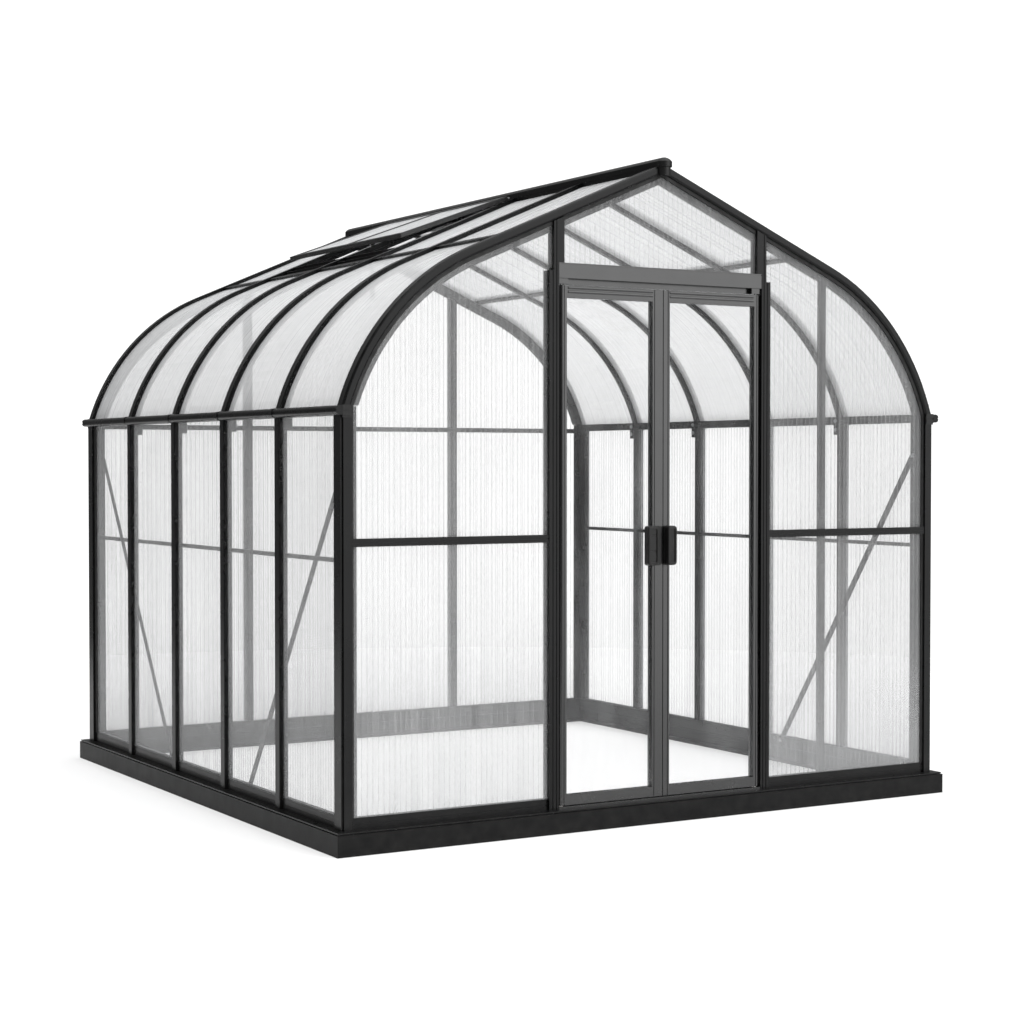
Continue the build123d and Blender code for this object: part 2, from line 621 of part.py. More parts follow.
def brace_brackets():
    """Spacer plates behind both ends of the brace, right front."""
    _, start, foot = brace()
    face = WALL - BRACE_DEPTH
    upper = block(face, WALL - TUBE, start[0] - 16, start[0] + 16, start[1] - 28, start[1] + 28)
    lower = block(face, WALL - 40, foot[0] - 22, foot[0] + 22, foot[1] - 14, foot[1] + 14)
    return [upper, lower]


def bolt_head(x, y, z):
    """Hexagon bolt head on an inner face of the right wall, pointing inwards."""
    head = extrude(Plane(origin=(x, y, z), z_dir=(-1, 0, 0)) * RegularPolygon(6.5, 6), 5)
    washer = extrude(Plane(origin=(x, y, z), z_dir=(-1, 0, 0)) * Circle(8), 1.2)
    return head + washer


def bracket_bolts():
    """Two bolt heads on each eave bracket of the right wall."""
    face = WALL - BRACKET_DEPTH
    return [bolt_head(face, y, z) for y in RIB_Y[1:-1] for z in (EAVE_LOW - 20, EAVE_LOW + 14)]


def brace_bolts():
    """Bolt heads at both ends of the right front brace."""
    _, start, foot = brace()
    return [bolt_head(WALL - BRACE_DEPTH - BRACE_THICK, y, z) for y, z in (start, foot)]


def braced_corners(shapes):
    """Right front corner parts, copied to the other braced corners: left front and left rear."""
    left = [mirrored_x(shape) for shape in shapes]
    return [*shapes, *left, *[mirror(shape, about=Plane.XZ) for shape in left]]


# ---------------------------------------------------------------- panels

def side_panels():
    """Five straight wall panels of the right wall."""
    panels = []
    for k in range(BAYS):
        y0 = RIB_Y[k] + PANEL_EDGE if k else -WALL + TUBE_SIDE + 1
        y1 = RIB_Y[k + 1] - PANEL_EDGE if k < BAYS - 1 else WALL - TUBE_SIDE - 1
        panels.append(block(WALL - PANEL_IN, WALL - PANEL_OUT, y0, y1, LEDGE_TOP + 9, EAVE_LOW + 10))
    return panels


def bay_ends(k):
    """Roof panel edges of a bay, along y."""
    y0 = RIB_Y[k] + PANEL_EDGE if k else -WALL + FRAME_WIDTH - PANEL_EDGE
    y1 = RIB_Y[k + 1] - PANEL_EDGE if k < BAYS - 1 else WALL - FRAME_WIDTH + PANEL_EDGE
    return y0, y1


def curved_panels():
    """Five bent panels of the right slope, from the purlin to the eave beam."""
    panels = []
    upper = slope_block(-10, PURLIN_X / COS + 5, -WALL, WALL, -90, 30)
    for k in range(BAYS):
        y0, y1 = bay_ends(k)
        sheet = roof_band(PANEL_OUT, PANEL_IN, y0, y1) - upper
        panels.append(sheet & block(0, WALL, y0, y1, EAVE_TOP - 10, APEX))
    return panels


def flat_panels(bays):
    """Flat panels of the right slope, from the ridge beam to the purlin."""
    start = (RIDGE_HALF - 4 + PANEL_IN * SIN) / COS
    return [slope_block(start, PURLIN_X / COS - 5, *bay_ends(k), -PANEL_IN, -PANEL_OUT) for k in bays]


def gable_sheet(x0, x1, z0, z1):
    """Gable panel between two edges, cut to the roof curve. Right half of the front gable."""
    y0, y1 = -WALL + PANEL_OUT, -WALL + PANEL_IN
    return block(x0, x1, y0, y1, z0, z1) & under_roof(ARCH_TUBE + 1, GABLE_EDGE, y0, y1)


def front_gable_panels():
    """Glazing of the front gable: lower and upper side panels, and the one over the lintel."""
    low = gable_sheet(DOOR_POST_OUT - 8, WALL, LEDGE_TOP + 9, FRONT_RAIL_Z - 4)
    high = gable_sheet(DOOR_POST_OUT - 8, WALL, FRONT_RAIL_Z + 4, APEX)
    wing = gable_sheet(MULLION_OUT - 8, DOOR_POST_OUT - 8, 1880.5, APEX)
    side = high + wing
    centre = gable_sheet(0, DOOR_POST_IN - 12, LINTEL_TOP - 9, APEX)
    return [low, side, mirrored_x(low), mirrored_x(side), centre + mirrored_x(centre)]


def back_gable_panels():
    """Glazing of the back gable, three bays with a lower and an upper panel, drawn on the front."""
    x = BACK_POST_X
    low_top, high_start = BACK_RAIL_Z - 4, BACK_RAIL_Z + 4
    low = gable_sheet(x + PANEL_EDGE, WALL, LEDGE_TOP + 9, low_top)
    high = gable_sheet(x + PANEL_EDGE, WALL, high_start, APEX)
    centre_low = gable_sheet(0, x - PANEL_EDGE, LEDGE_TOP + 9, low_top)
    centre_high = gable_sheet(0, x - PANEL_EDGE, high_start, APEX)
    return [low, high, mirrored_x(low), mirrored_x(high),
            centre_low + mirrored_x(centre_low), centre_high + mirrored_x(centre_high)]


# ---------------------------------------------------------------- doors

def pivot_x():
    """Door pivots stand at the centre of the rounded hinge stiles."""
    return LEAF_HALF - HINGE_STILE / 2


def pivot_y():
    return -WALL + (LEAF_FRONT + LEAF_BACK) / 2


def door_bushes():
    """Nylon bushes for the door pins, two in the threshold and two in the head."""
    bushes = []
    for x in (-pivot_x(), pivot_x()):
        for z, height in ((LEDGE_TOP + 5, 6), (HEAD_LOW + 6, 12)):
            ring = Cylinder(BUSH_RADIUS, height) - Cylinder(PIN_RADIUS + 0.08, height)
            bushes.append(Pos(x, pivot_y(), z) * ring)
    return bushes


def leaf_panel_slot(z0, z1):
    y0 = -WALL + 12.9
    return block(MEETING_GAP + 6, LEAF_HALF - 14, y0, y0 + 6.2, z0, z1)


def door_frame(meeting_width):
    """Right leaf: rounded hinge stile, meeting stile, top and bottom rails."""
    y0, y1 = -WALL + LEAF_FRONT, -WALL + LEAF_BACK
    hinge_in = LEAF_HALF - HINGE_STILE
    slot = leaf_panel_slot(LEAF_LOW + BOTTOM_RAIL - 12, LEAF_TOP - TOP_RAIL + 12)
    hinge = block(hinge_in, pivot_x(), y0, y1, LEAF_LOW, LEAF_TOP)
    middle = (LEAF_LOW + LEAF_TOP) / 2
    hinge = hinge + Pos(pivot_x(), pivot_y(), middle) * Cylinder((y1 - y0) / 2, LEAF_TOP - LEAF_LOW)
    hinge = hinge - block(hinge_in + 9, hinge_in + 12, y0, y0 + 2, LEAF_LOW, LEAF_TOP)
    for z in (LEAF_LOW, LEAF_TOP):
        hinge = hinge - Pos(pivot_x(), pivot_y(), z) * Cylinder(PIN_RADIUS, 60)
    meeting_out = MEETING_GAP + meeting_width
    meeting = block(MEETING_GAP, meeting_out, y0, y1, LEAF_LOW, LEAF_TOP)
    meeting = meeting - block(meeting_out - 9, meeting_out - 6, y0, y0 + 2, LEAF_LOW, LEAF_TOP)
    meeting = meeting - block(MEETING_GAP + 4, meeting_out - 11, y0 + 4, y1 - 4, LEAF_LOW + 20, LEAF_TOP - 20)
    rails = []
    for z0, z1 in ((LEAF_LOW, LEAF_LOW + BOTTOM_RAIL), (LEAF_TOP - TOP_RAIL, LEAF_TOP)):
        rail = block(meeting_out, hinge_in, y0, y1, z0, z1)
        rail = rail - block(meeting_out, hinge_in, y0 + 5, y1 - 5, z0 + 4, z1 - 4) - slot
        rails.append(rail)
    for z in (LEAF_TOP - 8, LEAF_TOP - 22):
        rails[1] = rails[1] + rod((meeting_out, y0 + 3.5, z), (hinge_in - 5, y0 + 3.5, z), 6)
    return [hinge - slot, meeting - slot, *rails]


def door_panel(meeting_width):
    """Sheet held in the leaf's slots."""
    y0 = -WALL + 13
    return block(MEETING_GAP + meeting_width - 8, LEAF_HALF - HINGE_STILE + 8, y0, y0 + 6,
                 LEAF_LOW + BOTTOM_RAIL - 11, LEAF_TOP - TOP_RAIL + 11)


def door_pins():
    """Upper and lower pivot pins of the right leaf."""
    upper = Pos(pivot_x(), pivot_y(), LEAF_TOP - 8) * Cylinder(PIN_RADIUS, 44)
    lower = Pos(pivot_x(), pivot_y(), LEAF_LOW + 10) * Cylinder(PIN_RADIUS, 38)
    return [upper, lower]


def rounded_block(x0, x1, y0, y1, z0, z1, corner):
    """Block with its four edges along y rounded."""
    return fillet(block(x0, x1, y0, y1, z0, z1).edges().filter_by(Axis.Y), corner)


def pull(flange_edge, box_edge, far_side):
    """Box pull of the right leaf: flange on the stile, rounded box, sunk front with two cross lines."""
    face = -WALL + LEAF_FRONT
    front = face - PULL_DEPTH
    flange = rounded_block(flange_edge, far_side, face - PULL_FLANGE, face, PULL_LOW, PULL_TOP, 8)
    box = rounded_block(box_edge, far_side, front, face - PULL_FLANGE, PULL_LOW, PULL_TOP, 12)
    box = fillet(box.faces().sort_by(Axis.Y)[0].edges(), 4)
    sunk = rounded_block(box_edge + 7, far_side - 7, front, front + 4, PULL_LOW + 10, PULL_TOP - 10, 5)
    lines = [block(box_edge + 7, far_side - 7, front, front + 7, z - 1.5, z + 1.5)
             for z in (PULL_LOW + 50, PULL_TOP - 30)]
    return flange + box - sunk - lines[0] - lines[1]


# ---------------------------------------------------------------- vent

def vent_span():
    return RIB_Y[VENT_FIRST] - SASH_OVERLAP, RIB_Y[VENT_LAST] + SASH_OVERLAP


def opened(shape):
    """Swing a closed sash part up to the rest angle, then carry it to the left slope."""
    hinge = slope_plane().location * Pos(HINGE_RUN, 0, HINGE_RISE)
    centre = hinge.position
    axis = Axis((centre.X, 0, centre.Z), (0, 1, 0))
    return mirrored_x(shape.rotate(axis, -REST_OPEN))


def sash_frame():
    """Vent sash: top and bottom rails, two stiles and the centre bar."""
    y0, y1 = vent_span()
    width = 30
    slot = slope_block(SASH_START + 16, SASH_END - 16, y0 + 18, y1 - 18, 8.9, 15.1)
    middle = (y0 + y1) / 2
    rails = [slope_block(SASH_START, SASH_START + SASH_RAIL, y0, y1, SASH_LOW, SASH_HIGH),
             slope_block(SASH_END - SASH_RAIL, SASH_END, y0, y1, SASH_LOW, SASH_HIGH)]
    s0, s1 = SASH_START + SASH_RAIL, SASH_END - SASH_RAIL
    stiles = [slope_block(s0, s1, y0, y0 + width, SASH_LOW, SASH_HIGH),
              slope_block(s0, s1, y1 - width, y1, SASH_LOW, SASH_HIGH)]
    cap = slope_block(s0, s1, middle - SASH_BAR / 2, middle + SASH_BAR / 2, 15.1, SASH_HIGH)
    neck = slope_block(s0, s1, middle - 4, middle + 4, 8.9, 15.1)
    foot = slope_block(s0, s1, middle - SASH_BAR / 2, middle + SASH_BAR / 2, SASH_LOW, 8.9)
    groove = slope_block(SASH_START, SASH_END, y0, y1, SASH_HIGH - 1.5, SASH_HIGH)
    rails[1] = rails[1] - (groove & slope_block(SASH_END - 12, SASH_END - 9, y0, y1, 0, 30))
    parts = [part - slot for part in rails + stiles] + [cap + neck + foot + stay_ear(middle)]
    return [opened(part) for part in parts]


def stay_ear(middle):
    """Angle on the sash's centre bar that drops beside the rib and carries the stay's headed pin."""
    run, height = STAY_PIVOT
    face = STAY_Y - 2
    s0, s1 = run - STAY_HALF, run + STAY_HALF
    bar_edge = middle + SASH_BAR / 2 - 1
    shelf = slope_block(s0, s1, bar_edge, face, SASH_LOW, SASH_LOW + 4)
    drop = slope_block(s0, s1, face - 4, face, height - STAY_HALF, SASH_LOW + 4)
    pin = sash_rod(STAY_PIVOT, face, STAY_Y + 2, 3) + sash_rod(STAY_PIVOT, STAY_Y + 2, STAY_Y + 4, 6)
    return shelf + drop + pin


def sash_rod(point, y0, y1, radius):
    """Round bar along y at a point given by slope distance and height, closed position."""
    plane = slope_plane()
    start = plane.from_local_coords((point[0], y0, point[1]))
    end = plane.from_local_coords((point[0], y1, point[1]))
    return rod(start, end, radius)


def sash_panels():
    """Two sheets of the vent sash, one each side of the centre bar."""
    y0, y1 = vent_span()
    middle = (y0 + y1) / 2
    s0, s1 = SASH_START + 18, SASH_END - 18
    sheets = [slope_block(s0, s1, y0 + 20, middle - 5, 9, 15),
              slope_block(s0, s1, middle + 5, y1 - 20, 9, 15)]
    return [opened(sheet) for sheet in sheets]


def knuckle_centres():
    y0, y1 = vent_span()
    return [y0 + (y1 - y0) * part for part in KNUCKLE_PLACES]


def vent_knuckles():
    """Hinge knuckles on the sash's top rail, around the hinge rod."""
    knuckles = []
    for y in knuckle_centres():
        barrel = sash_rod((HINGE_RUN, HINGE_RISE), y - 22, y + 22, 7)
        leaf = slope_block(HINGE_RUN, SASH_START, y - 22, y + 22, HINGE_RISE - 4, HINGE_RISE + 4)
        bore = sash_rod((HINGE_RUN, HINGE_RISE), y - 23, y + 23, PIN_RADIUS + 0.3)
        knuckles.append(opened(barrel + leaf - bore))
    return knuckles


def vent_hinge_rod():
    """Steel rod that the knuckles turn on, with the lugs that carry it from the ridge beam."""
    y0, y1 = vent_span()
    shaft = sash_rod((HINGE_RUN, HINGE_RISE), y0 + 10, y1 - 10, PIN_RADIUS)
    lugs = []
    for part in LUG_PLACES:
        y = y0 + (y1 - y0) * part
        if min(abs(y - rib_y) for rib_y in RIB_Y) < CAP_HALF + 6:
            y += CAP_HALF + 16 if part < 0.6 else -CAP_HALF - 16
        foot = slope_block(16, HINGE_RUN + 4, y - 5, y + 5, -13, -2)
        foot = foot & block(RIDGE_HALF, WALL, y - 5, y + 5, 0, APEX)
        stem = slope_block(HINGE_RUN - 6, HINGE_RUN + 4, y - 5, y + 5, -3, HINGE_RISE)
        ring = sash_rod((HINGE_RUN, HINGE_RISE), y - 5, y + 5, 7)
        lugs.append(foot + stem + ring)
    return mirrored_x(joined([lugs[0] + shaft] + lugs[1:]))


def vent_curb():
    """Plates below the sash between the ribs, each with an upstand and a drip lip."""
    parts = []
    for k in range(VENT_FIRST, VENT_LAST):
        y0, y1 = bay_ends(k)
        plate = slope_block(CURB_START, PURLIN_X / COS - 5, y0, y1, -PANEL_IN, -PANEL_OUT)
        upstand = slope_block(CURB_START, CURB_START + 4, y0 + 11, y1 - 11, -PANEL_OUT, -1)
        lip = slope_block(CURB_START + 40, CURB_START + 44, y0 + 11, y1 - 11, -PANEL_OUT, -6)
        parts.append(plate + upstand + lip)
    return [mirrored_x(part) for part in parts]


def stay_peg():
    """Peg on the side of the middle rib that the stay's holes drop over."""
    run, height = STAY_PEG
    face = RIB_Y[VENT_FIRST + 1] + BODY_HALF
    plate = slope_block(run - 10, run + 10, face, face + 2, height - 6, height + 6)
    return mirrored_x(plate + sash_rod(STAY_PEG, face, STAY_Y - 3.5, 3))


def rest_point(run, height):
    """World x and z of a sash point, given in the closed position, at the rest angle. Left slope."""
    turn = math.radians(REST_OPEN)
    dx, dz = run - HINGE_RUN, height - HINGE_RISE
    s = HINGE_RUN + dx * math.cos(turn) - dz * math.sin(turn)
    v = HINGE_RISE + dx * math.sin(turn) + dz * math.cos(turn)
    return -(s * COS + v * SIN), APEX - s * SIN + v * COS


def vent_stay():
    """Perforated stay bar, pinned at its upper end and hanging straight down."""
    x, z = rest_point(*STAY_PIVOT)
    length = STAY_REACH + 2 * STAY_HALF
    profile = Pos(0, STAY_HALF - length / 2) * SlotOverall(length, 2 * STAY_HALF, rotation=90)
    step = STAY_REACH / (STAY_HOLES - 1)
    for k in range(STAY_HOLES):
        profile = profile - Pos(0, -k * step) * Circle(STAY_HOLE)
    face = Plane(origin=(x, STAY_Y + STAY_THICK / 2, z), x_dir=(1, 0, 0), z_dir=(0, -1, 0))
    return extrude(face * profile, STAY_THICK)


# ---------------------------------------------------------------- export

def pair(shape):
    """A part and its mirror image on the other side of the house."""
    return [shape, mirrored_x(shape)]


def front_and_back(shapes):
    return [*shapes, *[mirror(shape, about=Plane.XZ) for shape in shapes]]


def base_nodes():
    beam = base_beam()
    side_beam = anchored(beam)
    sill = full_sill()
    return {
        "base_beam_right": [side_beam],
        "base_beam_left": [mirrored_x(side_beam)],
        "base_beam_front": [turned(beam, -1)],
        "base_beam_back": [turned(beam, 1)],
        "base_corner_plates": [turned(corner_plate(), k) for k in range(4)],
        "sill_right": [sill],
        "sill_left": [mirrored_x(sill)],
        "sill_back": [turned(sill, 1)],
        "sill_front": [turned(ledge(), -1), *front_risers()],
        "door_threshold": [threshold()],
    }


def frame_nodes():
    posts = side_posts()
    rails = side_mid_rails()
    beam = eave_beam()
    brackets = [eave_bracket(y) for y in RIB_Y[1:-1]]
    bar, _, _ = brace()
    heads = bracket_bolts()
    back_corners = pair(corner_post())
    return {
        "corner_posts_back": back_corners,
        "corner_posts_front": [mirror(post, about=Plane.XZ) for post in back_corners],
        "side_posts_right": posts,
        "side_posts_left": [mirrored_x(post) for post in posts],
        "side_mid_rails": rails + [mirrored_x(rail) for rail in rails],
        "eave_beam_right": [beam],
        "eave_beam_left": [mirrored_x(beam)],
        "eave_corner_caps": front_and_back(pair(eave_corner_cap())),
        "eave_brackets": brackets + [mirrored_x(bracket) for bracket in brackets],
        "wall_braces": braced_corners([bar]),
        "brace_brackets": braced_corners(brace_brackets()),
        "frame_bolts": heads + [mirrored_x(head) for head in heads] + braced_corners(brace_bolts()),
    }


def gable_nodes():
    arch = gable_arch()
    back = [mirror(shape, about=Plane.XZ) for shape in pair(arch)]
    post = gable_bar(BACK_POST_X) - riser_notch()
    rails = back_rails()
    jamb = door_post()
    mid_rail = front_mid_rail()
    front_gaskets = gable_gaskets([jamb, mid_rail])
    back_gaskets = [mirror(shape, about=Plane.XZ) for shape in gable_gaskets([post, *rails])]
    return {
        "front_arches": pair(arch),
        "back_arches": back,
        "glazing_gaskets": front_gaskets + back_gaskets + front_and_back(pair(side_gasket())),
        "door_posts": pair(jamb),
        "door_lintel": [lintel()],
        "front_mid_rails": pair(mid_rail),
        "front_gable_bar": front_gable_bar(),
        "back_gable_posts": [mirror(shape, about=Plane.XZ) for shape in pair(post)],
        "back_eave_rails": [mirror(rail, about=Plane.XZ) for rail in rails],
    }


def roof_nodes():
    ribs = [rib(y) for y in RIB_Y[1:-1]]
    bars = purlins()
    return {
        "roof_ribs_right": ribs,
        "roof_ribs_left": [mirrored_x(shape) for shape in ribs],
        "purlins": bars + [mirrored_x(shape) for shape in bars],
        "ridge_beam": [ridge_beam()],
        "ridge_cap": [ridge_cap()],
        "ridge_end_caps": front_and_back([ridge_end_cap()]),
    }


def panel_nodes():
    walls = side_panels()
    curved = curved_panels()
    open_bays = range(VENT_FIRST, VENT_LAST)
    left_flat = flat_panels([k for k in range(BAYS) if k not in open_bays])
    return {
        "side_panels_right": walls,
        "side_panels_left": [mirrored_x(sheet) for sheet in walls],
        "curved_panels_right": curved,
        "curved_panels_left": [mirrored_x(sheet) for sheet in curved],
        "flat_panels_right": flat_panels(range(BAYS)),
        "flat_panels_left": [mirrored_x(sheet) for sheet in left_flat],
        "front_gable_panels": front_gable_panels(),
        "back_gable_panels": [mirror(sheet, about=Plane.XZ) for sheet in back_gable_panels()],
    }


def door_nodes():
    right = door_frame(RIGHT_MEETING_STILE)
    left = [mirrored_x(part) for part in door_frame(LEFT_MEETING_STILE)]
    return {
        "door_bushes": door_bushes(),
        "right_door_frame": right,
        "right_door_panel": [door_panel(RIGHT_MEETING_STILE)],
        "right_door_pull": [pull(*RIGHT_PULL)],
        "right_door_pins": door_pins(),
        "left_door_frame": left,
        "left_door_panel": [mirrored_x(door_panel(LEFT_MEETING_STILE))],
        "left_door_pull": [mirrored_x(pull(*LEFT_PULL))],
        "left_door_pins": [mirrored_x(pin) for pin in door_pins()],
    }


def vent_nodes():
    return {
        "vent_curb": [*vent_curb(), stay_peg()],
        "vent_hinge_rod": [vent_hinge_rod()],
        "vent_sash_frame": sash_frame(),
        "vent_sash_panels": sash_panels(),
        "vent_knuckles": vent_knuckles(),
        "vent_stay": [vent_stay()],
    }


def main():
    os.makedirs("parts", exist_ok=True)
    groups = (base_nodes(), frame_nodes(), gable_nodes(), roof_nodes(), panel_nodes(),
              door_nodes(), vent_nodes())
    for group in groups:
        for name, shapes in group.items():
            solids = [solid for shape in shapes for solid in shape.solids()]
            export_step(Compound(children=solids), f"parts/{name}.step")


main()
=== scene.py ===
import json
import math

import bmesh
import bpy
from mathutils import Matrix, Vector


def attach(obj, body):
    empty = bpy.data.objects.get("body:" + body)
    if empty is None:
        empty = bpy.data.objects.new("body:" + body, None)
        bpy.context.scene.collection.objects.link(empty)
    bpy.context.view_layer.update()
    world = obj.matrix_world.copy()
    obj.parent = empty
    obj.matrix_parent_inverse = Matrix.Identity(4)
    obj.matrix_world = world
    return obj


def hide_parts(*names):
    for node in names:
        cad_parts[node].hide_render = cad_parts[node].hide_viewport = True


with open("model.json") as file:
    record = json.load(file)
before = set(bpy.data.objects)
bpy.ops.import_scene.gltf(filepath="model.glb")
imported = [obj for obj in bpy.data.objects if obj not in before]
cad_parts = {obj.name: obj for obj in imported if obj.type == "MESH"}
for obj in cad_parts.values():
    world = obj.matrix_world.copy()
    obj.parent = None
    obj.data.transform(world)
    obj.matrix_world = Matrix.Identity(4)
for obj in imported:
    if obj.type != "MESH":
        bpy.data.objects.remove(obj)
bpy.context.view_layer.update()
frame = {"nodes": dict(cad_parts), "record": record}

# Sizes in metres.
FLUTE_PITCH = 0.0195       # between the webs of a twin-wall sheet
EDGE_MARGIN = 0.004        # no web closer than this to a sheet's edge
X, Y, Z = 0, 1, 2          # axis numbers
DUST = 0.35                # most dust on the powder coat, at the ground

# Light: strength of the studio at the horizon, overhead and in the soft box.
SKY_LOW = 0.22
SKY_HIGH = 0.92
BOX_GLOW = 3.4
SOFT_BOX_TOWARD = (0.5, -0.82, 0.34)
BACKDROP = 1.2
FILL_TOWARD = (0.10, -0.20, 1.0)
FILL_STRENGTH = 1.9
FILL_SPREAD = 80           # degrees

FLOOR_RADIUS = 5.5
FLOOR_SIDES = 96
FLOOR_DROP = 0.0005        # below the ground face, so that the two don't flicker

# Camera: in front and to the left of the doors, just above door-handle height.
CAMERA_AT = (-3.947, -6.919, 1.234)
CAMERA_YAW = 30.41
CAMERA_PITCH = -1.4
CAMERA_LENS = 70.84


# ---------------------------------------------------------------- node helpers

class Tree:
    """Short calls for building one material's node tree."""

    def __init__(self, name):
        self.material = bpy.data.materials.new(name)
        self.material.use_nodes = True
        self.nodes = self.material.node_tree.nodes
        self.links = self.material.node_tree.links
        self.shader = self.nodes["Principled BSDF"]
        self.coords = self.nodes.new("ShaderNodeTexCoord").outputs["Object"]

    def plug(self, value, socket):
        """Link a socket, or set a plain number or colour."""
        if isinstance(value, bpy.types.NodeSocket):
            self.links.new(value, socket)
        else:
            socket.default_value = value

    def noise(self, scale, detail=3.0, stretch=(1, 1, 1), source=None, rough=0.5):
        mapping = self.nodes.new("ShaderNodeMapping")
        mapping.inputs["Scale"].default_value = stretch
        self.links.new(source or self.coords, mapping.inputs["Vector"])
        node = self.nodes.new("ShaderNodeTexNoise")
        node.inputs["Scale"].default_value = scale
        node.inputs["Detail"].default_value = detail
        node.inputs["Roughness"].default_value = rough
        self.links.new(mapping.outputs["Vector"], node.inputs["Vector"])
        return node.outputs["Fac"]

    def span(self, value, low, high, to_low, to_high):
        """Map low..high to to_low..to_high, clamped."""
        node = self.nodes.new("ShaderNodeMapRange")
        self.plug(value, node.inputs["Value"])
        for name, number in zip(("From Min", "From Max", "To Min", "To Max"), (low, high, to_low, to_high)):
            node.inputs[name].default_value = number
        return node.outputs["Result"]

    def math(self, operation, first, second):
        node = self.nodes.new("ShaderNodeMath")
        node.operation = operation
        self.plug(first, node.inputs[0])
        self.plug(second, node.inputs[1])
        return node.outputs["Value"]

    def mix(self, share, first, second):
        node = self.nodes.new("ShaderNodeMix")
        node.data_type = "RGBA"
        self.plug(share, node.inputs["Factor"])
        self.plug(first, node.inputs["A"])
        self.plug(second, node.inputs["B"])
        return node.outputs["Result"]

    def height(self):
        split = self.nodes.new("ShaderNodeSeparateXYZ")
        self.links.new(self.coords, split.inputs["Vector"])
        return split.outputs["Z"]

    def uv(self):
        return self.nodes.new("ShaderNodeUVMap").outputs["UV"]

    def bump(self, height, strength, distance):
        node = self.nodes.new("ShaderNodeBump")
        node.inputs["Strength"].default_value = strength
        node.inputs["Distance"].default_value = distance
        self.links.new(height, node.inputs["Height"])
        self.links.new(node.outputs["Normal"], self.shader.inputs["Normal"])

    def set(self, **values):
        for name, value in values.items():
            self.plug(value, self.shader.inputs[name.replace("_", " ")])


def grey(value, warm=0.0):
    return (value * (1 + warm), value, value * (1 - warm), 1)


# ---------------------------------------------------------------- materials

def powder_coat(name, dark, light, rough_low, rough_high, shine):
    """Satin powder coat: slow tone drift, faint scuffs, fine orange peel, and dust near the ground."""
    t = Tree(name)
    tone = t.mix(t.span(t.noise(4.0, 3), 0.3, 0.7, 0, 1), grey(dark, -0.04), grey(light, -0.04))
    scuffs = t.span(t.noise(26, 5, (1, 1, 0.2), rough=0.65), 0.68, 0.84, 0, 0.15)
    tone = t.mix(scuffs, tone, grey(light * 1.5, 0.02))
    low = t.span(t.height(), 0.0, 0.5, 1, 0)
    film = t.math("MULTIPLY", t.math("POWER", low, 3.0), t.span(t.noise(24, 5), 0.35, 0.75, 0, DUST))
    tone = t.mix(film, tone, grey(0.03, 0.05))
    rough = t.math("ADD", t.span(t.noise(18, 3), 0.3, 0.7, rough_low, rough_high),
                   t.math("MULTIPLY", film, 0.3))
    t.set(Base_Color=tone, Roughness=rough)
    t.shader.inputs["Specular IOR Level"].default_value = shine
    t.bump(t.noise(380, 1), 0.012, 0.0002)
    return t.material


def moulded_plastic():
    """Black moulded plastic with a fine spark-eroded grain."""
    t = Tree("moulded_plastic")
    tone = t.mix(t.span(t.noise(14, 4), 0.3, 0.7, 0, 1), grey(0.006), grey(0.010, 0.02))
    worn = t.span(t.noise(70, 5, rough=0.7), 0.66, 0.82, 0, 0.4)
    t.set(Base_Color=t.mix(worn, tone, grey(0.02)),
          Roughness=t.span(t.noise(90, 3), 0.3, 0.7, 0.36, 0.5))
    t.shader.inputs["Specular IOR Level"].default_value = 0.3
    t.bump(t.noise(1200, 2), 0.08, 0.0002)
    return t.material


def rubber():
    """Black extruded rubber, dull, with faint length-wise drag lines and bloom."""
    t = Tree("gasket_rubber")
    bloom = t.span(t.noise(30, 5), 0.5, 0.8, 0, 0.5)
    t.set(Base_Color=t.mix(bloom, grey(0.008), grey(0.03)),
          Roughness=t.span(t.noise(45, 3), 0.3, 0.7, 0.62, 0.82))
    t.bump(t.noise(700, 2, (1, 1, 0.05)), 0.3, 0.0003)
    return t.material


def zinc_steel():
    """Zinc plate: metal with spangle patches, drawn scratches and dull spots."""
    t = Tree("zinc_steel")
    cells = t.nodes.new("ShaderNodeTexVoronoi")
    cells.inputs["Scale"].default_value = 130
    t.links.new(t.coords, cells.inputs["Vector"])
    spangle = t.nodes.new("ShaderNodeSeparateColor")
    t.links.new(cells.outputs["Color"], spangle.inputs["Color"])
    tone = t.mix(spangle.outputs["Red"], grey(0.30, -0.02), grey(0.46, -0.02))
    spots = t.span(t.noise(55, 5, rough=0.7), 0.6, 0.78, 0, 0.7)
    t.set(Base_Color=t.mix(spots, tone, grey(0.2, 0.03)),
          Roughness=t.span(t.noise(220, 3, (0.15, 1, 1)), 0.3, 0.7, 0.34, 0.55), Metallic=1.0)
    t.bump(t.noise(420, 3, (0.1, 1, 1)), 0.18, 0.0003)
    return t.material


def nylon():
    """Natural nylon, waxy, slightly yellowed."""
    t = Tree("nylon")
    tone = t.mix(t.span(t.noise(40, 4), 0.3, 0.7, 0, 1), grey(0.55, 0.03), grey(0.68, 0.06))
    t.set(Base_Color=tone, Roughness=t.span(t.noise(120, 3), 0.3, 0.7, 0.35, 0.5))
    t.bump(t.noise(800, 2), 0.15, 0.0003)
    return t.material


